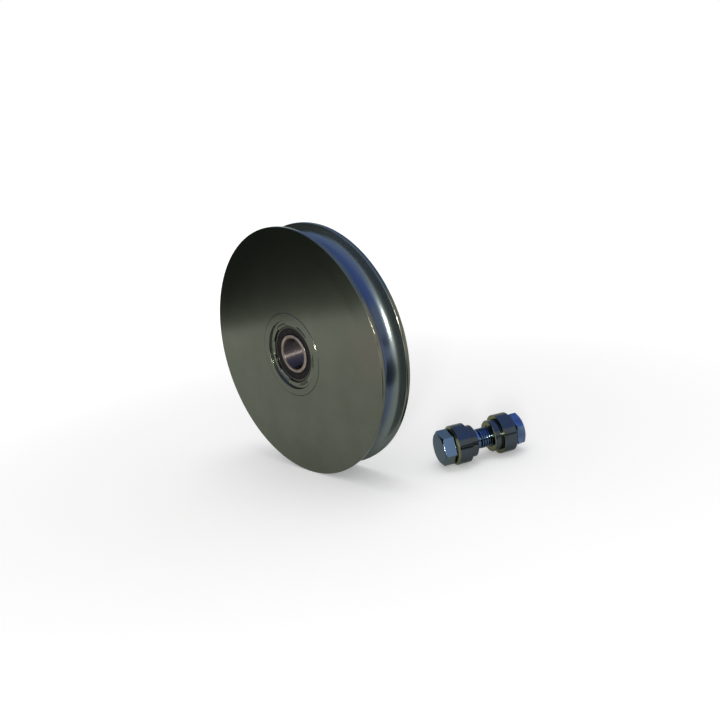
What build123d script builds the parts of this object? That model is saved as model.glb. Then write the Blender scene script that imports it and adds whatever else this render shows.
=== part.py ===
"""Sliding gate wheel for a round floor rail, with its two ball bearings and its axle set.

The wheel stands on its rim with its axis along Y and its centre at the origin.
The front face looks along -Y. The axle set lies on the same floor, taken out of the bore:
a hexagon bolt with two stepped bushes and a thin nut, whose bush noses fit the bearings' bore.
"""

from math import cos, pi, radians, sin, tan
import os

from build123d import *

os.makedirs("parts", exist_ok=True)

# Wheel disc, millimetres
wheel_radius = 100.0
rim_width = 28.8
web_rise = 0.35
rim_band_width = 14.0
web_slope_length = 1.6
boss_ring_width = 5.7
boss_edge_chamfer = 0.2
rim_edge_round = 0.6

# Rail groove in the rim
groove_radius = 10.5
groove_depth = 12.0
groove_flare = 12.0
groove_mouth_round = 0.8

# Bearing seat in the hub
counterbore_margin = 4.4
counterbore_depth = 1.8
counterbore_chamfer = 0.4
stake_seat_height = 1.2
seat_clearance = 0.01

# Peened stakes that lock the bearings into the hub
stake_count = 6
stake_first_angle = 10.0
stake_angle = 27.0
stake_groove_margin = 1.6
stake_groove_width = 1.3
stake_groove_depth = 0.8
stake_lip_reach = 0.9
stake_lip_height = 0.8

# Deep groove ball bearing
bearing_bore_radius = 12.5
bearing_outer_radius = 23.5
bearing_width = 12.0
ring_corner_round = 0.6
land_edge_chamfer = 0.25
seal_seat_depth = 1.6
seal_seat_step = 0.7
ball_share = 0.2886
land_share = 0.693
ball_count = 10
ball_clearance = 0.05
raceway_conformity = 0.52

# Ball cage
cage_share = 0.41
cage_base = 0.7
cage_seal_gap = 0.405
pocket_clearance = 0.12

# Rubber seals
seal_thickness = 1.3
seal_lip_thickness = 0.7
seal_lip_clearance = 0.12
seal_fit_clearance = 0.02
seal_lip_width = 1.1
seal_dish = 0.2
seal_rim_width = 1.5

# Axle set: where it lies and which way it points
axle_seat_x = 97.0
axle_seat_y = 50.0
axle_heading = 27.0

# Axle bolt and nut
hex_across_flats = 24.0
head_height = 10.0
washer_face_height = 0.5
washer_face_inset = 0.8
hex_chamfer_angle = 30.0
hex_crown_inset = 0.6
shank_step = 0.57
shank_length = 22.0
thread_radius = 7.92
bolt_length = 60.0
bolt_tip_chamfer = 1.2
bolt_tip_reach = 0.8
thread_clearance = 0.05
nut_height = 8.0
nut_countersink = 0.7
head_turn = -19.0
nut_turn = 2.0

# Stepped bushes
bush_collar_inset = 0.3
bush_collar_length = 12.0
bush_nose_length = 6.5
bush_nose_clearance = 0.03
bush_bore_clearance = 0.18
bush_edge_chamfer = 1.5
bush_nose_chamfer = 0.6
bush_bore_chamfer = 0.4
bush_root_groove_width = 0.8
bush_root_groove_depth = 0.35
end_float = 0.1

# Faces of the disc, counted from its middle plane
rim_face = rim_width / 2
web_face = rim_face + web_rise
counterbore_floor = bearing_width + stake_seat_height
boss_face = counterbore_floor + counterbore_depth

# Radii of the disc, counted from its rim and from the bearing seat
web_edge_radius = wheel_radius - rim_band_width
stake_groove_radius = bearing_outer_radius + stake_groove_margin
counterbore_radius = bearing_outer_radius + counterbore_margin
boss_radius = counterbore_radius + boss_ring_width

# Groove arc: its centre, and where it runs on into the flared walls
groove_centre = wheel_radius - groove_depth + groove_radius
groove_arc_end = radians(90 - groove_flare)
groove_end_radius = groove_centre - groove_radius * cos(groove_arc_end)
groove_end_half = groove_radius * sin(groove_arc_end)
mouth_half = groove_end_half + (wheel_radius - groove_end_radius) * tan(radians(groove_flare))
rim_land = rim_face - mouth_half
groove_middle = groove_arc_end / 2
groove_middle_radius = groove_centre - groove_radius * cos(groove_middle)
groove_middle_half = groove_radius * sin(groove_middle)

# Wheel disc: one turned piece, revolved from its half section and the mirror of it
with BuildPart() as wheel_body:
    with BuildSketch(Plane.XY) as disc_section:
        with BuildLine():
            Polyline(
                (bearing_outer_radius, 0),
                (bearing_outer_radius, counterbore_floor),
                (counterbore_radius, counterbore_floor),
                (counterbore_radius, boss_face),
                (boss_radius, boss_face),
                (boss_radius, web_face),
                (web_edge_radius - web_slope_length, web_face),
                (web_edge_radius, rim_face),
                (wheel_radius, rim_face),
                (wheel_radius, mouth_half),
                (groove_end_radius, groove_end_half),
            )
            ThreePointArc(
                (groove_end_radius, groove_end_half),
                (groove_middle_radius, groove_middle_half),
                (wheel_radius - groove_depth, 0),
            )
            mirror(about=Plane.XZ)
        make_face()
        rim_points = disc_section.vertices().filter_by(lambda v: abs(v.X - wheel_radius) < 0.001)
        fillet(rim_points.filter_by(lambda v: abs(v.Y) > mouth_half + 0.001), min(rim_edge_round, 0.4 * rim_land))
        mouth_points = disc_section.vertices().filter_by(
            lambda v: abs(v.X - wheel_radius) < 0.001 and abs(abs(v.Y) - mouth_half) < 0.001
        )
        fillet(mouth_points, min(groove_mouth_round, 0.4 * rim_land))
        boss_points = disc_section.vertices().filter_by(lambda v: abs(abs(v.Y) - boss_face) < 0.001)
        chamfer(boss_points.filter_by(lambda v: v.X > counterbore_radius + 0.001), boss_edge_chamfer)
        recess_points = disc_section.vertices().filter_by(
            lambda v: abs(abs(v.Y) - boss_face) < 0.001 and abs(v.X - counterbore_radius) < 0.001
        )
        chamfer(recess_points, counterbore_chamfer)
    revolve(axis=Axis.Y)
    for side in (-1, 1):
        floor_plane = Plane(origin=(0, side * counterbore_floor, 0), x_dir=(1, 0, 0), z_dir=(0, side, 0))
        with BuildSketch(floor_plane):
            with PolarLocations(0, stake_count, start_angle=side * stake_first_angle):
                SlotArc(
                    CenterArc((0, 0), stake_groove_radius, -stake_angle / 2, stake_angle),
                    height=stake_groove_width,
                )
        extrude(amount=-stake_groove_depth, mode=Mode.SUBTRACT)
        lip_plane = Plane(origin=(0, side * bearing_width, 0), x_dir=(1, 0, 0), z_dir=(0, side, 0))
        with BuildSketch(lip_plane.offset(seat_clearance)):
            with PolarLocations(0, stake_count, start_angle=side * stake_first_angle):
                SlotArc(
                    CenterArc((0, 0), bearing_outer_radius, -stake_angle / 2, stake_angle),
                    height=2 * stake_lip_reach,
                )
        extrude(amount=stake_lip_height)
wheel_body.part.label = "wheel_body"
export_step(wheel_body.part, "parts/wheel_body.step")

# Sizes that the two bearings share: a ball fills the room that rings, cage and seals leave it
half_width = bearing_width / 2
seal_seat_face = half_width - seal_seat_depth
pitch_radius = (bearing_bore_radius + bearing_outer_radius) / 2
ball_room_across = ball_share * (bearing_outer_radius - bearing_bore_radius)
ball_room_along = seal_seat_face - cage_seal_gap - cage_base - pocket_clearance
ball_radius = min(ball_room_across, ball_room_along)
raceway_radius = 2 * raceway_conformity * ball_radius
inner_land_radius = pitch_radius - land_share * ball_radius
outer_land_radius = pitch_radius + land_share * ball_radius
seal_seat_radius = outer_land_radius + seal_seat_step
outer_raceway_centre = pitch_radius + ball_radius + ball_clearance - raceway_radius
inner_raceway_centre = pitch_radius - ball_radius - ball_clearance + raceway_radius
pocket_radius = ball_radius + pocket_clearance
cage_inner_radius = pitch_radius - cage_share * ball_radius
cage_outer_radius = pitch_radius + cage_share * ball_radius
cage_prong = ball_radius / 2
cage_back = -pocket_radius - cage_base
lip_radius = inner_land_radius + seal_lip_clearance
seal_radius = seal_seat_radius - seal_fit_clearance
seal_face = seal_seat_face + seal_thickness
bearing_stations = {"front": -half_width, "rear": half_width}

for place, station in bearing_stations.items():
    outward = -1 if place == "front" else 1
    section_plane = Plane(origin=(0, station, 0), x_dir=(1, 0, 0), z_dir=(0, 0, 1))

    # Outer ring: seats in the hub, with a raceway and a step for each seal
    with BuildPart() as outer_ring:
        with BuildSketch(section_plane) as ring_section:
            with BuildLine():
                Polyline(
                    (outer_land_radius, 0),
                    (outer_land_radius, seal_seat_face),
                    (seal_seat_radius, seal_seat_face),
                    (seal_seat_radius, half_width),
                    (bearing_outer_radius - seat_clearance, half_width),
                    (bearing_outer_radius - seat_clearance, 0),
                )
                mirror(about=Plane.XZ)
            make_face()
            outer_points = ring_section.vertices().group_by(Axis.X)[-1]
            fillet(outer_points.filter_by(lambda v: abs(v.Y) > seal_seat_face), ring_corner_round)
            with Locations((outer_raceway_centre, 0)):
                Circle(raceway_radius, mode=Mode.SUBTRACT)
        revolve(axis=Axis.Y)
    outer_ring.part.label = f"bearing_{place}_outer_ring"
    export_step(outer_ring.part, f"parts/bearing_{place}_outer_ring.step")

    # Inner ring: its bore takes the nose of a bush
    with BuildPart() as inner_ring:
        with BuildSketch(section_plane) as ring_section:
            ring_middle = (bearing_bore_radius + inner_land_radius) / 2
            with Locations((ring_middle, 0)):
                Rectangle(inner_land_radius - bearing_bore_radius, bearing_width)
            fillet(ring_section.vertices().sort_by(Axis.X)[:2], ring_corner_round)
            chamfer(ring_section.vertices().sort_by(Axis.X)[-2:], land_edge_chamfer)
            with Locations((inner_raceway_centre, 0)):
                Circle(raceway_radius, mode=Mode.SUBTRACT)
        revolve(axis=Axis.Y)
    inner_ring.part.label = f"bearing_{place}_inner_ring"
    export_step(inner_ring.part, f"parts/bearing_{place}_inner_ring.step")

    # Crown cage: a ring with open pockets, snapped over the balls from the inner side
    cage_plane = Plane(origin=(0, station, 0), x_dir=(1, 0, 0), z_dir=(0, outward, 0))
    with BuildPart() as cage:
        with BuildSketch(cage_plane.offset(cage_back)):
            Circle(cage_outer_radius)
            Circle(cage_inner_radius, mode=Mode.SUBTRACT)
        extrude(amount=cage_prong - cage_back)
        with BuildSketch(section_plane):
            Circle(pocket_radius)
        pocket_tool = extrude(amount=2 * cage_outer_radius, mode=Mode.PRIVATE)
        for number in range(ball_count):
            ball_angle = number * 360 / ball_count
            add(pocket_tool.rotate(Axis.Y, ball_angle), mode=Mode.SUBTRACT)
    cage.part.label = f"bearing_{place}_cage"
    export_step(cage.part, f"parts/bearing_{place}_cage.step")

    # Balls
    for number in range(ball_count):
        ball_angle = radians(number * 360 / ball_count)
        ball_centre = (pitch_radius * sin(ball_angle), station, pitch_radius * cos(ball_angle))
        ball_name = f"bearing_{place}_ball_{number + 1:02d}"
        with BuildPart() as ball:
            with Locations(ball_centre):
                Sphere(ball_radius)
        ball.part.label = ball_name
        export_step(ball.part, f"parts/{ball_name}.step")

    # Seals: a rubber disc on each side, stiff rim in the outer ring and thin lip at the inner ring
    for seal_side in ("outer", "inner"):
        direction = outward if seal_side == "outer" else -outward
        with BuildPart() as seal:
            with BuildSketch(section_plane):
                with BuildLine():
                    Polyline(
                        (seal_radius, direction * seal_seat_face),
                        (seal_radius, direction * seal_face),
                        (seal_radius - seal_rim_width, direction * seal_face),
                        (seal_radius - seal_rim_width - seal_dish, direction * (seal_face - seal_dish)),
                        (lip_radius + seal_lip_width, direction * (seal_face - seal_dish)),
                        (lip_radius, direction * (seal_seat_face + seal_lip_thickness)),
                        (lip_radius, direction * seal_seat_face),
                        close=True,
                    )
                make_face()
            revolve(axis=Axis.Y)
        seal.part.label = f"bearing_{place}_{seal_side}_seal"
        export_step(seal.part, f"parts/bearing_{place}_{seal_side}_seal.step")

# Axle set: its axis lies level, one bush collar's radius above the floor
bush_collar_radius = inner_land_radius - bush_collar_inset
axle_seat_z = bush_collar_radius - wheel_radius
axle_direction = Vector(sin(radians(axle_heading)), cos(radians(axle_heading)), 0)
axle_across = Vector(-cos(radians(axle_heading)), sin(radians(axle_heading)), 0)
axle_seat = Vector(axle_seat_x, axle_seat_y, axle_seat_z)
axle_axis = Axis(axle_seat, axle_direction)
axle_section = Plane(origin=axle_seat, x_dir=(0, 0, 1), z_dir=axle_across)
axle_end = Plane(origin=axle_seat, x_dir=(0, 0, 1), z_dir=axle_direction)
bush_nose_radius = bearing_bore_radius - bush_nose_clearance
bush_bore_radius = thread_radius + bush_bore_clearance
shank_radius = thread_radius - shank_step
washer_face_radius = hex_across_flats / 2 - washer_face_inset
hex_crown_radius = hex_across_flats / 2 - hex_crown_inset
hex_corner_radius = hex_across_flats / 2 / cos(pi / 6)
crown_rise = (hex_corner_radius - hex_crown_radius) * tan(radians(hex_chamfer_angle))

# Axle bolt: hexagon head with a crowned top, smooth shank, then the thread's outer form
with BuildPart() as axle_bolt:
    with BuildSketch(axle_end.offset(-head_height)):
        RegularPolygon(hex_across_flats / 2, 6, major_radius=False, rotation=head_turn)
    extrude(amount=head_height - washer_face_height)
    with BuildSketch(axle_section):
        with BuildLine():
            Polyline(
                (0, -head_height),
                (hex_crown_radius, -head_height),
                (hex_corner_radius, -head_height + crown_rise),
                (hex_corner_radius, 0),
                (0, 0),
                close=True,
            )
        make_face()
    revolve(axis=axle_axis, mode=Mode.INTERSECT)
    with BuildSketch(axle_section):
        with BuildLine():
            Polyline(
                (0, -washer_face_height),
                (washer_face_radius, -washer_face_height),
                (washer_face_radius, 0),
                (shank_radius, 0),
                (shank_radius, shank_length),
                (thread_radius, shank_length + thread_radius - shank_radius),
                (thread_radius, bolt_length - bolt_tip_chamfer),
                (thread_radius - bolt_tip_chamfer, bolt_length),
                (0, bolt_length),
                close=True,
            )
        make_face()
    revolve(axis=axle_axis)
axle_bolt.part.label = "axle_bolt"
export_step(axle_bolt.part, "parts/axle_bolt.step")

# Stepped bushes: a collar outside, and a nose that enters the bearing's bore
bush_length = bush_collar_length + bush_nose_length
near_face = end_float
far_face = bolt_length - bolt_tip_reach - nut_height - end_float
for place, outer_face, inward in (("near", near_face, 1), ("far", far_face, -1)):
    with BuildPart() as bush:
        with BuildSketch(axle_section) as bush_section:
            with BuildLine():
                Polyline(
                    (bush_bore_radius, outer_face + inward * bush_bore_chamfer),
                    (bush_bore_radius + bush_bore_chamfer, outer_face),
                    (bush_collar_radius - bush_edge_chamfer, outer_face),
                    (bush_collar_radius, outer_face + inward * bush_edge_chamfer),
                    (bush_collar_radius, outer_face + inward * bush_collar_length),
                    (bush_nose_radius - bush_root_groove_depth, outer_face + inward * bush_collar_length),
                    (
                        bush_nose_radius - bush_root_groove_depth,
                        outer_face + inward * (bush_collar_length + bush_root_groove_width),
                    ),
                    (bush_nose_radius, outer_face + inward * (bush_collar_length + bush_root_groove_width)),
                    (bush_nose_radius, outer_face + inward * (bush_length - bush_nose_chamfer)),
                    (bush_nose_radius - bush_nose_chamfer, outer_face + inward * bush_length),
                    (bush_bore_radius + bush_bore_chamfer, outer_face + inward * bush_length),
                    (bush_bore_radius, outer_face + inward * (bush_length - bush_bore_chamfer)),
                    close=True,
                )
            make_face()
        revolve(axis=axle_axis)
    bush.part.label = f"{place}_bush"
    export_step(bush.part, f"parts/{place}_bush.step")

# Thin hexagon nut, crowned and countersunk on both faces
nut_face = far_face + end_float
nut_bore_radius = thread_radius + thread_clearance
with BuildPart() as axle_nut:
    with BuildSketch(axle_end.offset(nut_face)):
        RegularPolygon(hex_across_flats / 2, 6, major_radius=False, rotation=nut_turn)
    extrude(amount=nut_height)
    with BuildSketch(axle_section):
        with BuildLine():
            Polyline(
                (nut_bore_radius, nut_face + nut_countersink),
                (nut_bore_radius + nut_countersink, nut_face),
                (hex_crown_radius, nut_face),
                (hex_corner_radius, nut_face + crown_rise),
                (hex_corner_radius, nut_face + nut_height - crown_rise),
                (hex_crown_radius, nut_face + nut_height),
                (nut_bore_radius + nut_countersink, nut_face + nut_height),
                (nut_bore_radius, nut_face + nut_height - nut_countersink),
                close=True,
            )
        make_face()
    revolve(axis=axle_axis, mode=Mode.INTERSECT)
axle_nut.part.label = "axle_nut"
export_step(axle_nut.part, "parts/axle_nut.step")
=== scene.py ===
"""Looks of a sliding gate wheel and its axle set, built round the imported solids.

Lengths are in metres. The wheel stands on its rim with its axis along Y through the origin and
its front face towards -Y. The axle set lies on the same floor, taken out of the wheel's bore.
"""

from __future__ import annotations

import logging
import math
from dataclasses import dataclass
from enum import Enum
from typing import Callable, Iterable

import bmesh
import bpy
from mathutils import Matrix, Vector


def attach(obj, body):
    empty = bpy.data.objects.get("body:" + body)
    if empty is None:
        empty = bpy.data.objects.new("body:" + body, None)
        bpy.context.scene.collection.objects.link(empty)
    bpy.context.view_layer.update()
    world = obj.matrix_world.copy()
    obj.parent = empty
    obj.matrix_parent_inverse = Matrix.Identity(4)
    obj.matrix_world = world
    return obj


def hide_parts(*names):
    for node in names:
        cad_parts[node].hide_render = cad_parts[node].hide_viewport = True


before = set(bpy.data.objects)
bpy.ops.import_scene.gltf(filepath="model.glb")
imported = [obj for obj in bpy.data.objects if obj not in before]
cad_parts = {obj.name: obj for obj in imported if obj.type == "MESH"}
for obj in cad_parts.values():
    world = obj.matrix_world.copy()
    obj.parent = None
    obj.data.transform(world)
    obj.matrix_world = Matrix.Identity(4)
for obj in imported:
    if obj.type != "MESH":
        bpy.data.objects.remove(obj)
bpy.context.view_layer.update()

LOG = logging.getLogger("gate_wheel")
Colour = tuple[float, float, float]
MM = 0.001

# How finely the pieces are turned and rounded
WHEEL_STEPS = 384
SMALL_STEPS = 96
RING_STEPS = 192
RACEWAY_STEPS = 16
GROOVE_STEPS = 28
ROUND_SEGMENTS = 5
MERGE_DISTANCE = 1e-7
CREASE_ANGLE = math.radians(26)

# Share of a metal's reflection that is left where it is seen almost edge on
EDGE_TINT = (0.62, 0.64, 0.63, 1.0)


class Side(Enum):
    """The two ends of the hub, by their direction along Y."""

    FRONT = -1
    REAR = 1


class Bush(Enum):
    """The two stepped bushes, by the way their noses point along the bolt."""

    NEAR = 1
    FAR = -1


def ring_key(radius: float, along: float) -> tuple[int, int]:
    """Name a ring of a turned mesh by its radius and place, in ten-thousandths of a millimetre."""
    return round(radius / MM * 1e4), round(along / MM * 1e4)


def smooth_step(low: float, high: float, value: float) -> float:
    """Rise from 0 at low to 1 at high without a corner."""
    share = min(max((value - low) / (high - low), 0.0), 1.0)
    return share * share * (3 - 2 * share)


class Profile:
    """A half section drawn from point to point and then turned round the Y axis.

    Args:
        radius: distance of the first point from the axis.
        along: place of the first point along the axis.
    """

    def __init__(self, radius: float, along: float) -> None:
        self.mesh = bmesh.new()
        self.first = self.mesh.verts.new((radius, along, 0.0))
        self.tip = self.first
        self.soft: list[tuple[bmesh.types.BMVert, float]] = []
        self.creases: set[tuple[int, int]] = set()

    def line(self, radius: float, along: float, soften: float = 0.0, crease: bool = False) -> Profile:
        """Draw a straight stretch to the next point.

        Args:
            radius: distance of the point from the axis.
            along: place of the point along the axis.
            soften: length that a rounding takes off each side of the corner.
            crease: keeps a shallow corner crisp when it is shaded.

        Returns:
            The same profile, so that calls can follow each other.
        """
        grown = bmesh.ops.extrude_vert_indiv(self.mesh, verts=[self.tip])
        self.tip = grown["verts"][0]
        self.tip.co = (radius, along, 0.0)
        if soften:
            self.soft.append((self.tip, soften))
        if crease:
            self.creases.add(ring_key(radius, along))
        return self

    def arc(self, centre_radius: float, centre_along: float, degrees: float, steps: int) -> Profile:
        """Draw an arc from the last point.

        Args:
            centre_radius: distance of the arc's centre from the axis.
            centre_along: place of the arc's centre along the axis.
            degrees: how far the arc turns, positive from +X towards +Y.
            steps: number of chords.

        Returns:
            The same profile, so that calls can follow each other.
        """
        swept = bmesh.ops.spin(
            self.mesh,
            geom=[self.tip],
            cent=(centre_radius, centre_along, 0.0),
            axis=(0.0, 0.0, 1.0),
            dvec=(0.0, 0.0, 0.0),
            angle=math.radians(degrees),
            steps=steps,
            use_merge=False,
            use_duplicate=False,
        )
        self.tip = next(part for part in swept["geom_last"] if isinstance(part, bmesh.types.BMVert))
        return self

    def close(self) -> Profile:
        """Join the last point to the first."""
        self.mesh.edges.new((self.tip, self.first))
        return self

    def turn(self, steps: int) -> bmesh.types.BMesh:
        """Round the softened corners and turn the section a full circle.

        Args:
            steps: number of steps round the circle.

        Returns:
            The turned mesh, with its poles closed and its faces pointing outwards.
        """
        for size in sorted({size for _, size in self.soft}):
            bmesh.ops.bevel(
                self.mesh,
                geom=[vert for vert, own_size in self.soft if own_size == size],
                offset=size,
                offset_type="OFFSET",
                affect="VERTICES",
                segments=ROUND_SEGMENTS,
                profile=0.5,
                material=-1,
            )
        bmesh.ops.spin(
            self.mesh,
            geom=self.mesh.verts[:] + self.mesh.edges[:],
            cent=(0.0, 0.0, 0.0),
            axis=(0.0, 1.0, 0.0),
            dvec=(0.0, 0.0, 0.0),
            angle=math.tau,
            steps=steps,
            use_merge=True,
            use_duplicate=False,
        )
        bmesh.ops.remove_doubles(self.mesh, verts=self.mesh.verts[:], dist=MERGE_DISTANCE)
        bmesh.ops.recalc_face_normals(self.mesh, faces=self.mesh.faces[:])
        if self.creases:
            self.mark_creases()
        return self.mesh

    def mark_creases(self) -> None:
        """Mark the rings that stay crisp although their faces meet at a shallow angle."""
        for edge in self.mesh.edges:
            start, end = (ring_key(math.hypot(v.co.x, v.co.z), v.co.y) for v in edge.verts)
            if start == end and start in self.creases:
                edge.smooth = False


def soften_hard_edges(mesh: bmesh.types.BMesh, least_angle: float, width: float) -> None:
    """Bevel every edge whose faces meet at more than an angle.

    Args:
        mesh: the mesh to bevel.
        least_angle: edges with a smaller angle are left alone, in radians.
        width: width of the bevel.
    """
    hard = [e for e in mesh.edges if len(e.link_faces) == 2 and e.calc_face_angle() > least_angle]
    bmesh.ops.bevel(
        mesh,
        geom=hard,
        offset=width,
        offset_type="OFFSET",
        affect="EDGES",
        segments=3,
        profile=0.5,
        material=-1,
        clamp_overlap=True,
    )


def merge_into(target: bmesh.types.BMesh, *others: bmesh.types.BMesh) -> bmesh.types.BMesh:
    """Add other meshes to one, join what coincides and turn all faces outwards."""
    for other in others:
        carrier = bpy.data.meshes.new("carrier")
        other.to_mesh(carrier)
        other.free()
        target.from_mesh(carrier)
        bpy.data.meshes.remove(carrier)
    bmesh.ops.remove_doubles(target, verts=target.verts[:], dist=MERGE_DISTANCE * 10)
    bmesh.ops.recalc_face_normals(target, faces=target.faces[:])
    return target


def to_object(name: str, mesh: bmesh.types.BMesh, material: bpy.types.Material) -> bpy.types.Object:
    """Make an object of the scene from a modelled mesh, which is used up, and a material."""
    data = bpy.data.meshes.new(name)
    mesh.to_mesh(data)
    mesh.free()
    data.materials.append(material)
    made = bpy.data.objects.new(name, data)
    bpy.context.scene.collection.objects.link(made)
    return made


@dataclass(frozen=True)
class Piece:
    """What a finished mesh stands for."""

    name: str
    body: str
    node: str
    slot: str

    def finish(
        self, mesh: bmesh.types.BMesh, material: bpy.types.Material, place: Matrix | None = None
    ) -> bpy.types.Object:
        """Make the object, shade it, tie it to its body and hide the CAD node that it stands for.

        Args:
            mesh: the modelled mesh, which is used up.
            material: the finish of the whole piece.
            place: where the mesh goes, if it was modelled elsewhere.

        Returns:
            The new object, with its place in its mesh.
        """
        if place is not None:
            bmesh.ops.transform(mesh, matrix=place, verts=mesh.verts[:])
        for face in mesh.faces:
            face.smooth = True
        for edge in mesh.edges:
            if len(edge.link_faces) == 2 and edge.calc_face_angle() > CREASE_ANGLE:
                edge.smooth = False
        made = to_object(self.name, mesh, material)
        weighted = made.modifiers.new("weighted_normals", "WEIGHTED_NORMAL")
        weighted.keep_sharp = True
        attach(made, self.body)
        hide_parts(self.node)
        LOG.info("%s: %d faces, on %s", self.name, len(made.data.polygons), self.body)
        return made


class Shader:
    """A material's node tree, with short calls for the nodes that the finishes share.

    Args:
        name: name of the material.
    """

    def __init__(self, name: str) -> None:
        self.material = bpy.data.materials.new(name)
        self.material.use_nodes = True
        self.tree = self.material.node_tree
        self.surface = self.tree.nodes["Principled BSDF"]
        self.coordinates = self.tree.nodes.new("ShaderNodeTexCoord").outputs["Object"]

    def set(self, **numbers: float | tuple[float, ...]) -> None:
        """Set plain numbers and colours on the surface's own sockets."""
        for name, value in numbers.items():
            self.surface.inputs[name.replace("_", " ")].default_value = value

    def feed(self, socket: bpy.types.NodeSocket, value: bpy.types.NodeSocket | float | tuple) -> None:
        """Link a socket to another, or set its number."""
        if isinstance(value, bpy.types.NodeSocket):
            self.tree.links.new(value, socket)
        else:
            socket.default_value = value

    def place(self, location: Vector, heading: float) -> None:
        """Measure the pattern's coordinates from another origin and heading.

        Args:
            location: the new origin.
            heading: how far the new axes are turned round Z, in radians.
        """
        node = self.tree.nodes.new("ShaderNodeMapping")
        node.vector_type = "TEXTURE"
        node.inputs["Location"].default_value = location
        node.inputs["Rotation"].default_value = (0.0, 0.0, heading)
        self.tree.links.new(self.coordinates, node.inputs["Vector"])
        self.coordinates = node.outputs["Vector"]

    def math(self, operation: str, *values: bpy.types.NodeSocket | float) -> bpy.types.NodeSocket:
        """Return the result of a Math node."""
        node = self.tree.nodes.new("ShaderNodeMath")
        node.operation = operation
        for socket, value in zip(node.inputs, values):
            self.feed(socket, value)
        return node.outputs[0]

    def axial(self) -> tuple[bpy.types.NodeSocket, bpy.types.NodeSocket]:
        """Return the distance from the Y axis and the place along it."""
        parts = self.tree.nodes.new("ShaderNodeSeparateXYZ")
        self.tree.links.new(self.coordinates, parts.inputs[0])
        squares = [self.math("MULTIPLY", parts.outputs[axis], parts.outputs[axis]) for axis in (0, 2)]
        return self.math("SQRT", self.math("ADD", *squares)), parts.outputs[1]

    def facing(self, axis: Vector) -> bpy.types.NodeSocket:
        """Return how squarely the surface faces along an axis, from 0 to 1."""
        node = self.tree.nodes.new("ShaderNodeVectorMath")
        node.operation = "DOT_PRODUCT"
        self.tree.links.new(self.tree.nodes["Texture Coordinate"].outputs["Normal"], node.inputs[0])
        node.inputs[1].default_value = axis
        return self.math("ABSOLUTE", node.outputs["Value"])

    def vector(self, *values: bpy.types.NodeSocket | float) -> bpy.types.NodeSocket:
        """Return a vector made of three numbers."""
        node = self.tree.nodes.new("ShaderNodeCombineXYZ")
        for socket, value in zip(node.inputs, values):
            self.feed(socket, value)
        return node.outputs[0]

    def noise(
        self,
        scale: float,
        detail: float = 3.0,
        roughness: float = 0.5,
        vector: bpy.types.NodeSocket | None = None,
    ) -> bpy.types.NodeSocket:
        """Return a noise's value.

        Args:
            scale: waves to the metre.
            detail: number of finer layers.
            roughness: share of the finer layers.
            vector: where the noise is read, or None for the object's coordinates.

        Returns:
            The socket, between 0 and 1 about a mean of 0.5.
        """
        node = self.tree.nodes.new("ShaderNodeTexNoise")
        node.inputs["Scale"].default_value = scale
        node.inputs["Detail"].default_value = detail
        node.inputs["Roughness"].default_value = roughness
        self.tree.links.new(self.coordinates if vector is None else vector, node.inputs["Vector"])
        return node.outputs[0]

    def remap(
        self, value: bpy.types.NodeSocket, low: float, high: float, to_low: float = 0.0, to_high: float = 1.0
    ) -> bpy.types.NodeSocket:
        """Return a value moved smoothly from one range to another and held at its ends."""
        node = self.tree.nodes.new("ShaderNodeMapRange")
        node.interpolation_type = "SMOOTHSTEP"
        for socket, number in zip(node.inputs, (value, low, high, to_low, to_high)):
            self.feed(socket, number)
        return node.outputs[0]

    def mix(
        self,
        share: bpy.types.NodeSocket,
        first: Colour | bpy.types.NodeSocket,
        second: Colour | bpy.types.NodeSocket,
    ) -> bpy.types.NodeSocket:
        """Return a colour between two others."""
        node = self.tree.nodes.new("ShaderNodeMix")
        node.data_type = "RGBA"
        self.tree.links.new(share, node.inputs[0])
        for socket, colour in ((node.inputs[6], first), (node.inputs[7], second)):
            self.feed(socket, colour if isinstance(colour, bpy.types.NodeSocket) else (*colour, 1.0))
        return node.outputs[2]

    def bump(
        self, height: bpy.types.NodeSocket, distance: float, under: bpy.types.NodeSocket | None = None
    ) -> bpy.types.NodeSocket:
        """Return a normal that a height moves.

        Args:
            height: the height, in units of distance.
            distance: how high a height of 1 stands, in metres.
            under: a normal that is moved already, or None.

        Returns:
            The normal's socket.
        """
        node = self.tree.nodes.new("ShaderNodeBump")
        node.inputs["Distance"].default_value = distance
        self.tree.links.new(height, node.inputs["Height"])
        if under is not None:
            self.tree.links.new(under, node.inputs["Normal"])
        return node.outputs[0]

    def finish(
        self,
        colour: bpy.types.NodeSocket,
        roughness: bpy.types.NodeSocket,
        normal: bpy.types.NodeSocket,
    ) -> bpy.types.Material:
        """Join the three patterns to the surface and return the material."""
        self.tree.links.new(colour, self.surface.inputs["Base Color"])
        self.tree.links.new(roughness, self.surface.inputs["Roughness"])
        self.tree.links.new(normal, self.surface.inputs["Normal"])
        return self.material


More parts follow.
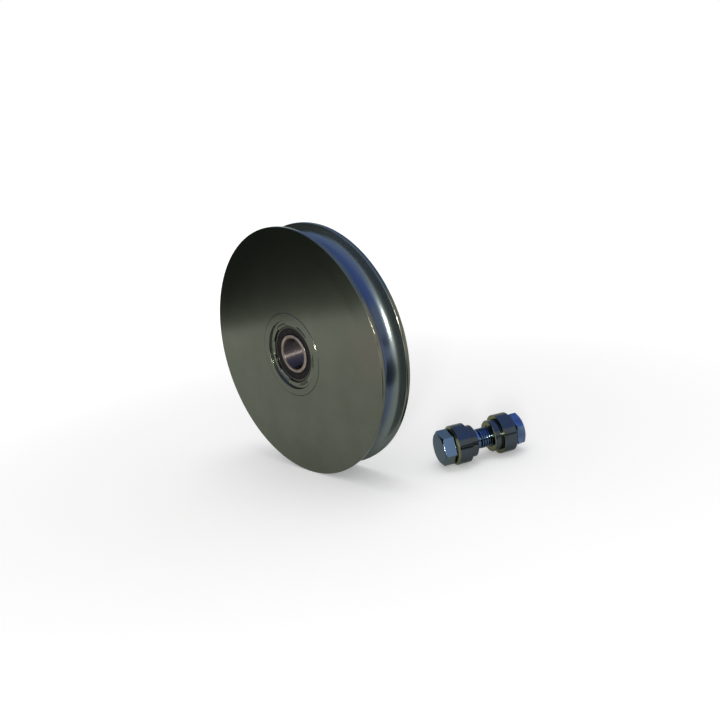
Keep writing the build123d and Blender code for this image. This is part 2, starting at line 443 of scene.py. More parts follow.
@dataclass(frozen=True)
class WheelZinc:
    """Bright zinc on the turned disc: cloudy grey faces, a ring of painted shade at the boss's foot, and a
    rail groove whose blue is a painted sky reflection and whose paler walls are painted light.
    """

    pale: Colour = (0.113, 0.123, 0.095)
    deep: Colour = (0.098, 0.108, 0.083)
    warm: Colour = (0.117, 0.113, 0.090)
    # The groove's blue is a painted sky reflection, and its wall colour is painted light.
    blue: Colour = (0.060, 0.080, 0.120)
    painted_light_wall: Colour = (0.14, 0.165, 0.155)
    # The line colour is a ring of painted shade at the boss's foot.
    line: Colour = (0.016, 0.017, 0.014)
    dull_share: float = 0.13
    recess_radius: float = 28.2 * MM
    groove_start: float = 87.0 * MM
    groove_half: float = 11.5 * MM
    shade_ring_radius: float = 33.8 * MM
    shade_ring_half: float = 0.28 * MM

    def material(self) -> bpy.types.Material:
        """Return the finish."""
        shader = Shader("wheel_zinc")
        shader.set(Specular_Tint=EDGE_TINT)
        radius, along = shader.axial()
        rings = shader.vector(radius, along, 0.0)
        clouds = shader.noise(30.0, 5.0, 0.65)
        grain = shader.noise(900.0, 2.0)
        face = shader.mix(shader.remap(clouds, 0.3, 0.7), self.deep, self.pale)
        face = shader.mix(shader.remap(shader.noise(16.0, 2.0), 0.5, 0.8), face, self.warm)
        # A thin dark ring of painted shade at the boss's foot.
        off_shade_ring = shader.math("ABSOLUTE", shader.math("SUBTRACT", radius, self.shade_ring_radius))
        face = shader.mix(shader.remap(off_shade_ring, self.shade_ring_half, self.shade_ring_half / 3), face, self.line)
        reach = shader.math("ABSOLUTE", along)
        inside = shader.remap(reach, self.groove_half, self.groove_half - MM)
        outside = shader.remap(radius, self.groove_start, self.groove_start + MM)
        groove = shader.math("MULTIPLY", inside, outside)
        # The groove's bottom gets a painted sky reflection, and its walls get painted light.
        steep = shader.remap(shader.facing(Vector((0.0, 1.0, 0.0))), 0.45, 0.9)
        colour = shader.mix(groove, face, shader.mix(steep, self.blue, self.painted_light_wall))
        recess = shader.remap(radius, self.recess_radius, self.recess_radius - 0.2 * MM)
        dull = shader.math("MULTIPLY", shader.math("MAXIMUM", groove, recess), self.dull_share)
        shader.tree.links.new(shader.math("SUBTRACT", 1.0, dull), shader.surface.inputs["Metallic"])
        turned = shader.noise(700.0, 3.0, 0.7, rings)
        rough = shader.math("ADD", shader.math("MULTIPLY", turned, 0.06), 0.10)
        rough = shader.math("ADD", rough, shader.math("MULTIPLY", grain, 0.04))
        rough = shader.math("ADD", rough, shader.math("MULTIPLY", groove, 0.08))
        normal = shader.bump(turned, 0.003 * MM)
        normal = shader.bump(grain, 0.003 * MM, normal)
        return shader.finish(colour, rough, normal)


@dataclass(frozen=True)
class RingSteel:
    """Ground bearing steel: warm inner faces, a bore darkened with painted shade, and outer rings greyed and
    darkened with painted shade.
    """

    pale: Colour = (0.25, 0.215, 0.185)
    deep: Colour = (0.15, 0.125, 0.105)
    brown: Colour = (0.115, 0.088, 0.060)
    # The bore's colour and the outer rings' grey are painted shade.
    painted_bore_shade: Colour = (0.105, 0.092, 0.096)
    grey: Colour = (0.055, 0.053, 0.046)
    bore_end: float = 12.75 * MM
    brown_end: float = 13.7 * MM
    outer_start: float = 19.4 * MM

    def material(self) -> bpy.types.Material:
        """Return the finish."""
        shader = Shader("ring_steel")
        shader.set(Metallic=1.0, Specular_Tint=EDGE_TINT)
        radius, along = shader.axial()
        ground = shader.noise(3000.0, 2.0, 0.6, shader.vector(radius, along, 0.0))
        clouds = shader.noise(150.0)
        colour = shader.mix(shader.remap(clouds, 0.3, 0.7), self.deep, self.pale)
        near_bore = shader.remap(radius, self.brown_end, self.brown_end - 0.5 * MM)
        colour = shader.mix(near_bore, colour, self.brown)
        # Painted shade darkens the bore.
        in_bore = shader.remap(radius, self.bore_end, self.bore_end - 0.2 * MM)
        colour = shader.mix(in_bore, colour, self.painted_bore_shade)
        # Painted shade darkens the outer rings.
        outside = shader.remap(radius, self.outer_start, self.outer_start + 0.2 * MM)
        colour = shader.mix(outside, colour, self.grey)
        rough = shader.math("ADD", shader.math("MULTIPLY", ground, 0.10), 0.12)
        rough = shader.math("ADD", rough, shader.math("MULTIPLY", in_bore, 0.25))
        around = shader.tree.nodes.new("ShaderNodeTangent")
        around.direction_type = "RADIAL"
        around.axis = "Y"
        shader.tree.links.new(around.outputs[0], shader.surface.inputs["Tangent"])
        shader.tree.links.new(in_bore, shader.surface.inputs["Anisotropic"])
        shader.set(Anisotropic_Rotation=0.25)
        return shader.finish(colour, rough, shader.bump(ground, 0.002 * MM))


@dataclass(frozen=True)
class SealRubber:
    """Matt black rubber with a faint bloom and a moulded grain."""

    pale: Colour = (0.014, 0.013, 0.012)
    deep: Colour = (0.007, 0.006, 0.006)

    def material(self) -> bpy.types.Material:
        """Return the finish."""
        shader = Shader("seal_rubber")
        shader.set(Specular_IOR_Level=0.08)
        clouds = shader.noise(180.0, 4.0, 0.6)
        grain = shader.noise(4000.0, 2.0)
        colour = shader.mix(shader.remap(clouds, 0.35, 0.7), self.deep, self.pale)
        rough = shader.math("ADD", shader.math("MULTIPLY", clouds, 0.2), 0.42)
        return shader.finish(colour, rough, shader.bump(grain, 0.01 * MM))


@dataclass(frozen=True)
class CagePolymer:
    """Moulded cage plastic."""

    pale: Colour = (0.055, 0.050, 0.042)
    deep: Colour = (0.035, 0.032, 0.028)

    def material(self) -> bpy.types.Material:
        """Return the finish."""
        shader = Shader("cage_polymer")
        clouds = shader.noise(400.0)
        colour = shader.mix(shader.remap(clouds, 0.3, 0.7), self.deep, self.pale)
        rough = shader.math("ADD", shader.math("MULTIPLY", clouds, 0.15), 0.4)
        return shader.finish(colour, rough, shader.bump(clouds, 0.01 * MM))


@dataclass(frozen=True)
class PassivatedZinc:
    """Passivated zinc on the axle set, whose film drifts from blue to grey, with a painted reflection on end
    faces and on the head's faces that look up or down.

    Args:
        name: name of the material.
        blue: the film's one tone.
        grey: its other tone, which also covers what lies before the seat.
        green: a painted reflection on what lies before the seat and faces up or down.
        olive: a painted reflection on end faces.
        seat: origin of the axle set.
        heading: the set's turn round Z.
        olive_share: how much of an end face's tone is the painted reflection.
    """

    name: str
    blue: Colour
    grey: Colour
    green: Colour
    olive: Colour
    seat: Vector
    heading: float
    olive_share: float

    def material(self) -> bpy.types.Material:
        """Return the finish."""
        shader = Shader(self.name)
        shader.set(Metallic=1.0, Specular_Tint=EDGE_TINT)
        shader.place(self.seat, self.heading)
        radius, along = shader.axial()
        film = shader.noise(60.0, 3.0, 0.55)
        turned = shader.noise(2200.0, 2.0, 0.6, shader.vector(radius, along, 0.0))
        grain = shader.noise(1500.0, 2.0)
        before = shader.remap(along, 0.0, -MM)
        greying = shader.math("MAXIMUM", shader.remap(film, 0.35, 0.65), before)
        colour = shader.mix(greying, self.blue, self.grey)
        # The head's faces that look up or down get a painted reflection.
        level = shader.remap(shader.facing(Vector((0.0, 0.0, 1.0))), 0.4, 0.75)
        colour = shader.mix(shader.math("MULTIPLY", before, level), colour, self.green)
        # End faces get a painted reflection: olive on the bushes, darker on the bolt's head.
        axis = Vector((-math.sin(self.heading), math.cos(self.heading), 0.0))
        end_face = shader.remap(shader.facing(axis), 0.4, 0.75, 0.0, self.olive_share)
        colour = shader.mix(end_face, colour, self.olive)
        rough = shader.math("ADD", shader.math("MULTIPLY", turned, 0.08), 0.13)
        normal = shader.bump(grain, 0.003 * MM, shader.bump(turned, 0.002 * MM))
        return shader.finish(colour, rough, normal)


@dataclass
class WheelDisc:
    """The turned steel disc with its rail groove, hub boss, counterbores and peened stakes."""

    radius: float = 100.0 * MM
    rim_face: float = 14.4 * MM
    web_face: float = 14.75 * MM
    boss_face: float = 15.0 * MM
    web_edge: float = 86.0 * MM
    web_slope: float = 1.6 * MM
    boss_radius: float = 33.6 * MM
    bore_radius: float = 23.5 * MM
    recess_radius: float = 27.9 * MM
    recess_floor: float = 13.2 * MM
    recess_chamfer: float = 0.4 * MM
    recess_round: float = 0.16 * MM
    recess_root: float = 0.15 * MM
    boss_chamfer: float = 0.2 * MM
    groove_radius: float = 10.5 * MM
    groove_depth: float = 12.0 * MM
    groove_flare: float = 12.0
    mouth_round: float = 0.8 * MM
    rim_round: float = 0.6 * MM
    stake_count: int = 6
    stake_first: float = -10.0
    stake_half: float = 13.5
    stake_middle: float = 25.1 * MM
    stake_half_width: float = 0.65 * MM
    stake_depth: float = 0.8 * MM
    lip_start: float = 12.01 * MM
    lip_height: float = 0.8 * MM
    lip_reach: float = 0.9 * MM

    def section(self) -> Profile:
        """Return the half section from the bore's middle to the groove's bottom."""
        flare = math.radians(self.groove_flare)
        centre = self.radius - self.groove_depth + self.groove_radius
        arc_end = centre - self.groove_radius * math.sin(flare)
        arc_half = self.groove_radius * math.cos(flare)
        mouth = arc_half + (self.radius - arc_end) * math.tan(flare)
        profile = Profile(self.bore_radius, 0.0)
        profile.line(self.bore_radius, self.lip_start)
        for share in (0.14, 0.35, 0.6, 0.85, 1.0, 1.25):
            profile.line(self.bore_radius, self.lip_start + share * self.lip_height)
        profile.line(self.bore_radius, self.recess_floor)
        floor_steps = 22
        floor_width = self.recess_radius - self.bore_radius
        for step in range(1, floor_steps):
            profile.line(self.bore_radius + floor_width * step / floor_steps, self.recess_floor)
        profile.line(self.recess_radius, self.recess_floor, soften=self.recess_root)
        profile.line(self.recess_radius, self.boss_face - self.recess_chamfer, soften=self.recess_round)
        profile.line(self.recess_radius + self.recess_chamfer, self.boss_face, soften=self.recess_round)
        profile.line(self.boss_radius - self.boss_chamfer, self.boss_face)
        profile.line(self.boss_radius, self.boss_face - self.boss_chamfer)
        profile.line(self.boss_radius, self.web_face)
        profile.line(self.web_edge - self.web_slope, self.web_face, crease=True)
        profile.line(self.web_edge, self.rim_face, crease=True)
        profile.line(self.radius, self.rim_face, soften=self.rim_round)
        profile.line(self.radius, mouth, soften=self.mouth_round)
        profile.line(arc_end, arc_half)
        profile.arc(centre, 0.0, 90.0 - self.groove_flare, GROOVE_STEPS)
        return profile

    def peen(self, mesh: bmesh.types.BMesh) -> None:
        """Press the stakes into the counterbore's floor and push their lips over the bearing."""
        pitch = 360.0 / self.stake_count
        lip_end = self.recess_floor - self.lip_start
        for vert in mesh.verts:
            radius = math.hypot(vert.co.x, vert.co.z)
            if radius > self.recess_radius or vert.co.y < self.lip_start - MERGE_DISTANCE:
                continue
            angle = math.degrees(math.atan2(vert.co.z, vert.co.x))
            off_middle = abs((angle - self.stake_first + pitch / 2) % pitch - pitch / 2)
            strength = 1.0 - smooth_step(self.stake_half - 1.5, self.stake_half + 1.5, off_middle)
            if strength == 0.0:
                continue
            if vert.co.y > self.recess_floor - MERGE_DISTANCE:
                off_groove = abs(radius - self.stake_middle) / self.stake_half_width
                vert.co.y -= self.stake_depth * strength * (1.0 - smooth_step(0.35, 1.15, off_groove))
            else:
                height = (vert.co.y - self.lip_start) / lip_end
                bulge = smooth_step(0.0, 0.09, height) * (1.0 - smooth_step(0.45, 1.0, height))
                shrunk = (radius - self.lip_reach * strength * bulge) / radius
                vert.co.x *= shrunk
                vert.co.z *= shrunk

    def build(self, zinc: bpy.types.Material) -> bpy.types.Object:
        """Model the disc and dress it.

        Args:
            zinc: the finish of the disc.

        Returns:
            The disc.
        """
        mesh = self.section().turn(WHEEL_STEPS)
        self.peen(mesh)
        bmesh.ops.mirror(
            mesh,
            geom=mesh.verts[:] + mesh.edges[:] + mesh.faces[:],
            matrix=Matrix.Identity(4),
            merge_dist=MERGE_DISTANCE,
            axis="Y",
        )
        bmesh.ops.remove_doubles(mesh, verts=mesh.verts[:], dist=MERGE_DISTANCE)
        bmesh.ops.recalc_face_normals(mesh, faces=mesh.faces[:])
        piece = Piece("wheel_disc", "wheel", "wheel_body", "zinc_steel")
        return piece.finish(mesh, zinc)


@dataclass
class BallBearing:
    """One of the two sealed deep groove ball bearings in the hub."""

    side: Side
    bore_radius: float = 12.5 * MM
    outer_radius: float = 23.49 * MM
    width: float = 12.0 * MM
    corner_round: float = 0.6 * MM
    inner_land: float = 15.8 * MM
    outer_land: float = 20.2 * MM
    seal_step: float = 0.7 * MM
    seal_depth: float = 1.6 * MM
    pitch_radius: float = 18.0 * MM
    ball_reach: float = 3.2246 * MM
    raceway_radius: float = 3.3016 * MM
    seal_thickness: float = 1.3 * MM
    lip_thickness: float = 0.7 * MM
    lip_clearance: float = 0.12 * MM
    seal_fit: float = 0.02 * MM
    bead_width: float = 1.5 * MM
    lip_width: float = 1.1 * MM
    dish: float = 0.2 * MM

    @property
    def name(self) -> str:
        """The bearing's name in the frame."""
        return f"bearing_{self.side.name.lower()}"

    @property
    def place(self) -> Matrix:
        """Where the bearing sits, turned so that its outer side looks out of the hub."""
        station = Matrix.Translation((0.0, self.side.value * self.width / 2, 0.0))
        return station @ Matrix.Rotation(0.0 if self.side is Side.REAR else math.pi, 4, "Z")

    def raceway(self, profile: Profile, land: float, centre: float) -> None:
        """Draw the outer ring's raceway across the middle of its land, towards -Y.

        Args:
            profile: the section that is being drawn.
            land: radius of the land that the raceway is cut into.
            centre: radius of the arc's centre, which is less than the land's.
        """
        half = math.degrees(math.acos((land - centre) / self.raceway_radius))
        along = self.raceway_radius * math.sin(math.radians(half))
        profile.line(land, along)
        profile.arc(centre, 0.0, -2 * half, RACEWAY_STEPS)

    def outer_ring(self, steel: bpy.types.Material) -> None:
        """Model the outer ring with its raceway and seal steps."""
        half = self.width / 2
        seat = self.outer_land + self.seal_step
        seal_face = half - self.seal_depth
        profile = Profile(self.outer_radius, -half + self.corner_round)
        profile.line(self.outer_radius, half, soften=self.corner_round)
        profile.line(seat, half, soften=0.12 * MM)
        profile.line(seat, seal_face)
        profile.line(self.outer_land, seal_face)
        self.raceway(profile, self.outer_land, self.pitch_radius + self.ball_reach - self.raceway_radius)
        profile.line(self.outer_land, -seal_face)
        profile.line(seat, -seal_face)
        profile.line(seat, -half, soften=0.12 * MM)
        profile.line(self.outer_radius, -half, soften=self.corner_round * 0.98)
        profile.close()
        node = f"{self.name}_outer_ring"
        piece = Piece(f"{node}_turned", "wheel", node, "bearing_steel")
        piece.finish(profile.turn(RING_STEPS), steel, self.place)

    def inner_ring(self, steel: bpy.types.Material) -> None:
        """Model the inner ring with its raceway and rounded bore corners."""
        half = self.width / 2
        profile = Profile(self.bore_radius, 0.0)
        profile.line(self.bore_radius, -half, soften=self.corner_round)
        profile.line(self.inner_land, -half, soften=0.5 * MM)
        centre = self.pitch_radius - self.ball_reach + self.raceway_radius
        opening = math.acos((centre - self.inner_land) / self.raceway_radius)
        profile.line(self.inner_land, -self.raceway_radius * math.sin(opening))
        profile.arc(centre, 0.0, -2 * math.degrees(opening), RACEWAY_STEPS)
        profile.line(self.inner_land, half, soften=0.5 * MM)
        profile.line(self.bore_radius, half, soften=self.corner_round)
        profile.close()
        node = f"{self.name}_inner_ring"
        piece = Piece(f"{node}_turned", "axle_side", node, "bearing_steel")
        piece.finish(profile.turn(RING_STEPS), steel, self.place)

    def seal(self, rubber: bpy.types.Material) -> None:
        """Model the outer seal with its bead, dished web and lip."""
        back = self.width / 2 - self.seal_depth
        face = back + self.seal_thickness
        rim = self.outer_land + self.seal_step - self.seal_fit
        lip = self.inner_land + self.lip_clearance
        web = face - self.dish
        bead = rim - self.bead_width
        profile = Profile(rim, back)
        profile.line(rim, face, soften=0.3 * MM)
        profile.line(bead, face, soften=0.25 * MM)
        profile.line(bead - self.dish, web, soften=0.1 * MM)
        profile.line(lip + self.lip_width + 0.5 * MM, web, soften=0.1 * MM)
        profile.line(lip + self.lip_width + 0.3 * MM, web - 0.12 * MM)
        profile.line(lip + self.lip_width, web - 0.02 * MM, soften=0.1 * MM)
        profile.line(lip, back + self.lip_thickness, soften=0.15 * MM)
        profile.line(lip, back)
        profile.close()
        node = f"{self.name}_outer_seal"
        piece = Piece(f"{node}_moulded", "wheel", node, "seal_rubber")
        piece.finish(profile.turn(RING_STEPS), rubber, self.place)

    def build(self, steel: bpy.types.Material, rubber: bpy.types.Material) -> None:
        """Model the rings and the seal that show."""
        self.outer_ring(steel)
        self.inner_ring(steel)
        self.seal(rubber)


@dataclass
class AxleSet:
    """The loose axle: a hexagon bolt through two stepped bushes, and a thin nut."""

    seat: Vector
    heading: float = math.radians(-27.0)
    across_flats: float = 24.0 * MM
    head_height: float = 10.0 * MM
    washer_radius: float = 11.2 * MM
    washer_height: float = 0.5 * MM
    crown_radius: float = 11.4 * MM
    crown_angle: float = math.radians(30.0)
    shank_radius: float = 7.35 * MM
    shank_length: float = 22.0 * MM
    thread_radius: float = 7.92 * MM
    thread_depth: float = 1.13 * MM
    thread_pitch: float = 2.0 * MM
    thread_fade: float = 1.6 * MM
    length: float = 60.0 * MM
    tip_chamfer: float = 1.2 * MM
    nut_height: float = 8.0 * MM
    nut_start: float = 51.2 * MM
    nut_bore: float = 7.97 * MM
    nut_countersink: float = 0.7 * MM
    hard_angle: float = math.radians(20)
    hexagon_bevel: float = 0.28 * MM
    head_turn: float = math.radians(-19.0)
    nut_turn: float = math.radians(2.0)
    collar_radius: float = 15.5 * MM
    collar_length: float = 12.0 * MM
    nose_radius: float = 12.47 * MM
    nose_length: float = 6.5 * MM
    bush_bore: float = 8.1 * MM
    bore_chamfer: float = 0.4 * MM
    collar_chamfer: float = 1.5 * MM
    nose_chamfer: float = 0.6 * MM
    root_depth: float = 0.35 * MM
    root_width: float = 0.8 * MM
    near_face: float = 0.1 * MM
    far_face: float = 51.1 * MM

    @property
    def place(self) -> Matrix:
        """Where the bolt's under-head plane lies, with the bolt along the local Y axis."""
        return Matrix.Translation(self.seat) @ Matrix.Rotation(self.heading, 4, "Z")

    @property
    def corner_radius(self) -> float:
        """Radius of the hexagon's corners."""
        return self.across_flats / 2 / math.cos(math.pi / 6)

    @property
    def crown_rise(self) -> float:
        """Height that the crown's cone takes off the corners."""
        return (self.corner_radius - self.crown_radius) * math.tan(self.crown_angle)

    def shape_hexagon(self, mesh: bmesh.types.BMesh, crowns: Iterable[tuple[float, int]]) -> None:
        """Move the outer rings of a turned mesh onto a hexagon with crowned ends.

        Args:
            mesh: a turned mesh whose hexagonal rings stand at the corner radius.
            crowns: for each crowned end, its place along the axis and its way inwards.
        """
        threshold = (self.corner_radius + self.crown_radius) / 2
        for vert in mesh.verts:
            radius = math.hypot(vert.co.x, vert.co.z)
            if radius < threshold:
                continue
            angle = math.atan2(vert.co.x, vert.co.z)
            off_middle = angle % (math.pi / 3) - math.pi / 6
            wanted = self.across_flats / 2 / math.cos(off_middle)
            vert.co.x *= wanted / radius
            vert.co.z *= wanted / radius
            for end, inwards in crowns:
                if abs(vert.co.y - end) < self.crown_rise * 1.01:
                    vert.co.y = end + inwards * (wanted - self.crown_radius) * math.tan(self.crown_angle)

    def thread(self) -> bmesh.types.BMesh:
        """Return the bolt's screw thread, which fades into the shank and ends at the tip."""
        root = self.thread_radius - self.thread_depth
        mesh = bmesh.new()
        start = self.shank_length - 1.5 * self.thread_pitch
        points = ((0.0, root), (0.2, root), (0.5, self.thread_radius - 0.04 * MM), (0.54, self.thread_radius))
        points += ((0.66, self.thread_radius), (0.7, self.thread_radius - 0.04 * MM), (1.0, root))
        wire = [mesh.verts.new((radius, start + share * self.thread_pitch, 0.0)) for share, radius in points]
        for one, two in zip(wire, wire[1:]):
            mesh.edges.new((one, two))
        turns = math.ceil((self.length - start) / self.thread_pitch) + 1
        bmesh.ops.spin(
            mesh,
            geom=mesh.verts[:] + mesh.edges[:],
            cent=(0.0, 0.0, 0.0),
            axis=(0.0, 1.0, 0.0),
            dvec=(0.0, self.thread_pitch / SMALL_STEPS, 0.0),
            angle=math.tau * turns,
            steps=SMALL_STEPS * turns,
            use_merge=False,
            use_duplicate=False,
        )
        tip_radius = self.thread_radius - self.tip_chamfer
        for vert in mesh.verts:
            radius = math.hypot(vert.co.x, vert.co.z)
            vert.co.y = min(max(vert.co.y, self.shank_length), self.length)
            fade = smooth_step(0.0, self.thread_fade, vert.co.y - self.shank_length)
            wanted = self.shank_radius + (radius - self.shank_radius) * fade
            wanted = min(wanted, tip_radius + self.length - vert.co.y)
            if vert.co.y > self.length - MERGE_DISTANCE:
                wanted = tip_radius
            vert.co.x *= wanted / radius
            vert.co.z *= wanted / radius
        bmesh.ops.remove_doubles(mesh, verts=mesh.verts[:], dist=MERGE_DISTANCE * 10)
        return mesh

    def bolt(self, zinc: bpy.types.Material) -> None:
        """Model the bolt: hexagon head, washer face, smooth shank and thread."""
        top = -self.head_height
        profile = Profile(0.0, top)
        profile.line(self.crown_radius, top)
        profile.line(self.corner_radius, top + self.crown_rise)
        profile.line(self.corner_radius, -self.washer_height)
        profile.line(self.washer_radius, -self.washer_height)
        profile.line(self.washer_radius, 0.0)
        profile.line(self.shank_radius, 0.0)
        profile.line(self.shank_radius, self.shank_length)
        mesh = profile.turn(SMALL_STEPS)
        self.shape_hexagon(mesh, [(top, 1)])
        soften_hard_edges(mesh, self.hard_angle, self.hexagon_bevel)
        tip = Profile(self.thread_radius - self.tip_chamfer, self.length)
        tip.line(0.0, self.length)
        merge_into(mesh, tip.turn(SMALL_STEPS), self.thread())
        piece = Piece("axle_bolt_threaded", "axle_side", "axle_bolt", "zinc_fastener")
        piece.finish(mesh, zinc, self.place @ Matrix.Rotation(self.head_turn, 4, "Y"))

    def nut(self, zinc: bpy.types.Material) -> None:
        """Model the thin nut, crowned and countersunk on both faces."""
        start = self.nut_start
        end = start + self.nut_height
        sink = self.nut_countersink
        profile = Profile(self.nut_bore, start + sink)
        profile.line(self.nut_bore + sink, start)
        profile.line(self.crown_radius, start)
        profile.line(self.corner_radius, start + self.crown_rise)
        profile.line(self.corner_radius, end - self.crown_rise)
        profile.line(self.crown_radius, end)
        profile.line(self.nut_bore + sink, end)
        profile.line(self.nut_bore, end - sink)
        profile.close()
        mesh = profile.turn(SMALL_STEPS)
        self.shape_hexagon(mesh, [(start, 1), (end, -1)])
        soften_hard_edges(mesh, self.hard_angle, self.hexagon_bevel)
        piece = Piece("axle_nut_thin", "nut", "axle_nut", "zinc_fastener")
        piece.finish(mesh, zinc, self.place @ Matrix.Rotation(self.nut_turn, 4, "Y"))

    def bush(self, which: Bush, zinc: bpy.types.Material) -> None:
        """Model a stepped bush.

        Args:
            which: the bush at the head or the one at the nut.
            zinc: its finish.
        """
        outer = self.near_face if which is Bush.NEAR else self.far_face
        inward = which.value
        shoulder = outer + inward * self.collar_length
        end = shoulder + inward * self.nose_length
        root = self.nose_radius - self.root_depth
        groove_end = shoulder + inward * self.root_width
        profile = Profile(self.bush_bore, outer + inward * self.bore_chamfer)
        profile.line(self.bush_bore + self.bore_chamfer, outer)
        profile.line(self.collar_radius - self.collar_chamfer, outer, soften=0.15 * MM)
        profile.line(self.collar_radius, outer + inward * self.collar_chamfer, soften=0.15 * MM)
        profile.line(self.collar_radius, shoulder, soften=0.25 * MM)
        profile.line(root, shoulder, soften=0.1 * MM)
        profile.line(root, groove_end)
        profile.line(self.nose_radius, groove_end, soften=0.1 * MM)
        profile.line(self.nose_radius, end - inward * self.nose_chamfer, soften=0.1 * MM)
        profile.line(self.nose_radius - self.nose_chamfer, end, soften=0.1 * MM)
        profile.line(self.bush_bore + self.bore_chamfer, end)
        profile.line(self.bush_bore, end - inward * self.bore_chamfer)
        profile.close()
        label = f"{which.name.lower()}_bush"
        piece = Piece(f"{label}_turned", label, label, "passivated_steel")
        piece.finish(profile.turn(RING_STEPS), zinc, self.place)

    def build(self, fastener: bpy.types.Material, film: bpy.types.Material) -> None:
        """Model the bolt, the nut and both bushes."""
        self.bolt(fastener)
        self.nut(fastener)
        for which in Bush:
            self.bush(which, film)


@dataclass(frozen=True)
class Card:
    """A panel beside the set that shows only in glossy surfaces, as a studio flag does.

    Where it has a foot, the foot's colour dies away upwards into its own.

    Args:
        name: name of the panel.
        centre: middle of the panel.
        facing: the way it looks.
        width: its width.
        height: its height.
        colour: what it gives off.
        foot: what its lower edge gives off, or None.
        fade: height over which the foot's share falls to a third.
        far_fade: the same height past far_along.
        far_along: range of Y in which the one height turns into the other.
    """

    name: str
    centre: Vector
    facing: Vector
    width: float
    height: float
    colour: Colour
    foot: Colour | None = None
    fade: float = 0.1
    far_fade: float = 0.1
    far_along: tuple[float, float] = (10.0, 11.0)

    def build(self) -> None:
        """Put the panel up."""
        mesh = bmesh.new()
        bmesh.ops.create_grid(mesh, x_segments=1, y_segments=1, size=0.5)
        scale = Matrix.Diagonal((self.width, self.height, 1.0, 1.0))
        turn = self.facing.to_track_quat("Z", "Y").to_matrix().to_4x4()
        bmesh.ops.transform(mesh, matrix=Matrix.Translation(self.centre) @ turn @ scale, verts=mesh.verts[:])
        shader = Shader(self.name)
        panel = to_object(self.name, mesh, shader.material)
        glow = shader.tree.nodes.new("ShaderNodeEmission")
        glow.inputs["Color"].default_value = (*self.colour, 1.0)
        if self.foot is not None:
            parts = shader.tree.nodes.new("ShaderNodeSeparateXYZ")
            shader.tree.links.new(shader.coordinates, parts.inputs[0])
            below = shader.math("SUBTRACT", self.centre.z - self.height / 2, parts.outputs[2])
            fade = shader.remap(parts.outputs[1], *self.far_along, self.fade, self.far_fade)
            share = shader.math("EXPONENT", shader.math("DIVIDE", below, fade))
            shader.tree.links.new(shader.mix(share, self.colour, self.foot), glow.inputs["Color"])
        output = shader.tree.nodes["Material Output"]
        shader.tree.links.new(glow.outputs[0], output.inputs["Surface"])
        panel.visible_camera = False
        panel.visible_diffuse = False
        panel.visible_shadow = False
        panel.visible_transmission = False


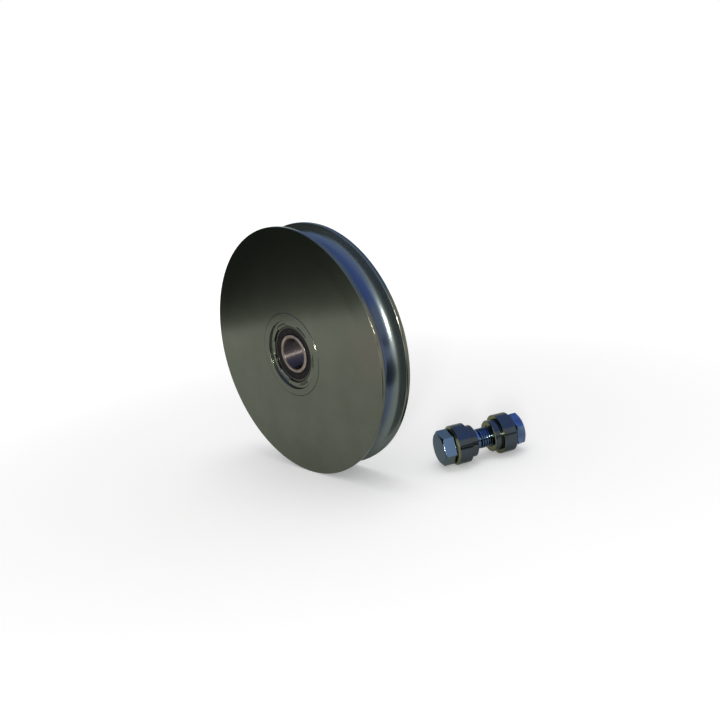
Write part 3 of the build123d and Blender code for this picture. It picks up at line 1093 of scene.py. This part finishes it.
@dataclass
class Studio:
    """Pale floor, white surroundings, soft lamps, flags and the camera."""

    floor_level: float = -0.1
    floor_size: float = 60.0
    floor_colour: Colour = (0.86, 0.86, 0.86)
    floor_glow_near: float = 0.20
    floor_glow_far: float = 0.62
    floor_fade_start: float = 0.15
    floor_fade_end: float = 1.1
    camera_place: Vector = Vector((0.40946, -0.31076, 0.10530))
    camera_heading: float = math.radians(48.05)
    camera_pitch: float = math.radians(-13.21)
    camera_roll: float = math.radians(8.67)
    camera_lens: float = 32.47

    def shown(self, tree: bpy.types.NodeTree) -> bpy.types.NodeSocket:
        """Return 1 on rays that show a surface, also in metal or glass, and 0 on rays that light one."""
        path = tree.nodes.new("ShaderNodeLightPath")
        shown = path.outputs["Is Camera Ray"]
        for name in ("Is Glossy Ray", "Is Transmission Ray"):
            either = tree.nodes.new("ShaderNodeMath")
            either.operation = "MAXIMUM"
            tree.links.new(shown, either.inputs[0])
            tree.links.new(path.outputs[name], either.inputs[1])
            shown = either.outputs[0]
        return shown

    def floor(self) -> None:
        """Lay the floor, which shows near white but keeps the shadows."""
        mesh = bmesh.new()
        bmesh.ops.create_grid(mesh, x_segments=1, y_segments=1, size=self.floor_size / 2)
        bmesh.ops.translate(mesh, vec=(0.0, 0.0, self.floor_level), verts=mesh.verts[:])
        shader = Shader("floor")
        floor = to_object("floor", mesh, shader.material)
        shader.set(Base_Color=(*self.floor_colour, 1.0), Roughness=0.8, Specular_IOR_Level=0.0)
        shader.set(Emission_Color=(1.0, 1.0, 1.0, 1.0))
        distance = shader.tree.nodes.new("ShaderNodeVectorMath")
        distance.operation = "LENGTH"
        shader.tree.links.new(shader.coordinates, distance.inputs[0])
        near, far = self.floor_glow_near, self.floor_glow_far
        glow = shader.remap(distance.outputs["Value"], self.floor_fade_start, self.floor_fade_end, near, far)
        glow = shader.math("MULTIPLY", glow, self.shown(shader.tree))
        shader.tree.links.new(glow, shader.surface.inputs["Emission Strength"])

    def world(self) -> None:
        """Show white to the camera and in glossy surfaces, and a softer fill to the rest."""
        world = bpy.data.worlds.new("studio")
        bpy.context.scene.world = world
        world.use_nodes = True
        tree = world.node_tree
        back = tree.nodes["Background"]
        back.inputs["Color"].default_value = (0.6, 0.6, 0.6, 1.0)
        white = tree.nodes.new("ShaderNodeBackground")
        white.inputs["Color"].default_value = (1.0, 1.0, 1.0, 1.0)
        mix = tree.nodes.new("ShaderNodeMixShader")
        tree.links.new(self.shown(tree), mix.inputs[0])
        tree.links.new(back.outputs[0], mix.inputs[1])
        tree.links.new(white.outputs[0], mix.inputs[2])
        tree.links.new(mix.outputs[0], tree.nodes["World Output"].inputs["Surface"])

    def lamp(self, name: str, place: Vector, size: float, power: float) -> None:
        """Hang a square lamp that looks at the wheel.

        Args:
            name: name of the lamp.
            place: where it hangs.
            size: length of its side.
            power: its power in watts.
        """
        data = bpy.data.lights.new(name, "AREA")
        data.size = size
        data.energy = power
        lamp = bpy.data.objects.new(name, data)
        lamp.location = place
        lamp.rotation_mode = "QUATERNION"
        lamp.rotation_quaternion = place.to_track_quat("Z", "Y")
        bpy.context.scene.collection.objects.link(lamp)

    def camera(self) -> None:
        """Set the camera at the photograph's place, heading and roll."""
        pitch = self.camera_pitch
        heading = self.camera_heading
        flat = math.cos(pitch)
        forward = Vector((-math.sin(heading) * flat, math.cos(heading) * flat, math.sin(pitch)))
        level = forward.cross(Vector((0.0, 0.0, 1.0))).normalized()
        upright = level.cross(forward)
        right = level * math.cos(self.camera_roll) - upright * math.sin(self.camera_roll)
        up = upright * math.cos(self.camera_roll) + level * math.sin(self.camera_roll)
        turn = Matrix((right, up, -forward)).transposed().to_4x4()
        data = bpy.data.cameras.new("camera")
        data.lens = self.camera_lens
        data.clip_start = 0.01
        camera = bpy.data.objects.new("camera", data)
        camera.matrix_world = Matrix.Translation(self.camera_place) @ turn
        bpy.context.scene.collection.objects.link(camera)
        bpy.context.scene.camera = camera

    def cards(self) -> None:
        """Put up the flags, the sky and the sun's image, which shape what the metal mirrors."""
        up = Vector((0.0, 0.0, 1.0))
        black = (0.05, 0.06, 0.055)
        sky = (0.42, 0.58, 1.15)
        Card(
            "front_flag",
            centre=Vector((-0.797, -0.369, 0.3)),
            facing=Vector((0.73, 0.68, 0.0)),
            width=1.05,
            height=0.8,
            colour=(0.054, 0.063, 0.058),
            foot=(0.52, 0.55, 0.53),
            fade=0.052,
            far_fade=0.030,
            far_along=(-0.52, -0.40),
        ).build()
        Card("side_flag", Vector((1.3, -0.2, -0.02)), Vector((-1.0, 0.1, 0.0)), 1.4, 0.16, black).build()
        # The floor flag is a dark sheet that only the metal mirrors; it puts a painted dark reflection into
        # the groove.
        Card("floor_flag", Vector((0.28, -0.065, -0.0985)), up, 0.22, 0.27, black).build()
        Card("sky_panel", Vector((0.3, 0.0, 1.8)), Vector((0.0, 0.0, -1.0)), 5.0, 5.0, sky).build()
        beside_key = Vector((0.77, -0.87, 0.195))
        sun = (640.0, 590.0, 500.0)
        Card("sun_image", beside_key, Vector((-0.65, 0.735, -0.165)), 0.07, 0.07, sun).build()
        above_key = Vector((0.85, -0.96, 0.85))
        bright = (2.6, 2.7, 2.6)
        Card("sky_glow", above_key, Vector((-0.66, 0.75, -0.2)), 0.5, 1.0, sky, bright, 0.28).build()

    def build(self) -> None:
        """Put up everything round the wheel."""
        self.floor()
        self.world()
        self.lamp("key", Vector((0.78, -0.88, 0.20)), 0.13, 6.0)
        self.lamp("top", Vector((0.1, 0.2, 2.1)), 1.2, 9.0)
        self.camera()
        self.cards()
        bpy.context.scene.view_settings.view_transform = "Standard"


def dress(nodes: Iterable[str], material: bpy.types.Material) -> None:
    """Give CAD nodes a finish.

    Args:
        nodes: names of the nodes.
        material: their finish.
    """
    for name in nodes:
        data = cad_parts[name].data
        data.materials.clear()
        data.materials.append(material)


def main() -> None:
    """Build the wheel, its bearings, the axle set and the studio."""
    logging.basicConfig(level=logging.INFO, format="%(name)s: %(message)s")
    axle = AxleSet(Vector((97.0, 50.0, -84.5)) * MM)
    steel = RingSteel().material()
    rubber = SealRubber().material()
    cage = CagePolymer().material()
    bush_film = PassivatedZinc(
        "bush_zinc",
        blue=(0.052, 0.066, 0.080),
        grey=(0.054, 0.062, 0.062),
        green=(0.054, 0.062, 0.062),
        olive=(0.150, 0.155, 0.076),
        seat=axle.seat,
        heading=axle.heading,
        olive_share=0.85,
    )
    bolt_film = PassivatedZinc(
        "bolt_zinc",
        blue=(0.062, 0.092, 0.170),
        grey=(0.100, 0.160, 0.260),
        green=(0.120, 0.150, 0.125),
        olive=(0.060, 0.080, 0.092),
        seat=axle.seat,
        heading=axle.heading,
        olive_share=0.8,
    )
    WheelDisc().build(WheelZinc().material())
    for side in Side:
        bearing = BallBearing(side)
        bearing.build(steel, rubber)
        dress((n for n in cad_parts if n.startswith(f"{bearing.name}_ball")), steel)
        dress([f"{bearing.name}_cage"], cage)
        dress([f"{bearing.name}_inner_seal"], rubber)
    axle.build(bolt_film.material(), bush_film.material())
    Studio().build()


if __name__ == "__main__":
    main()
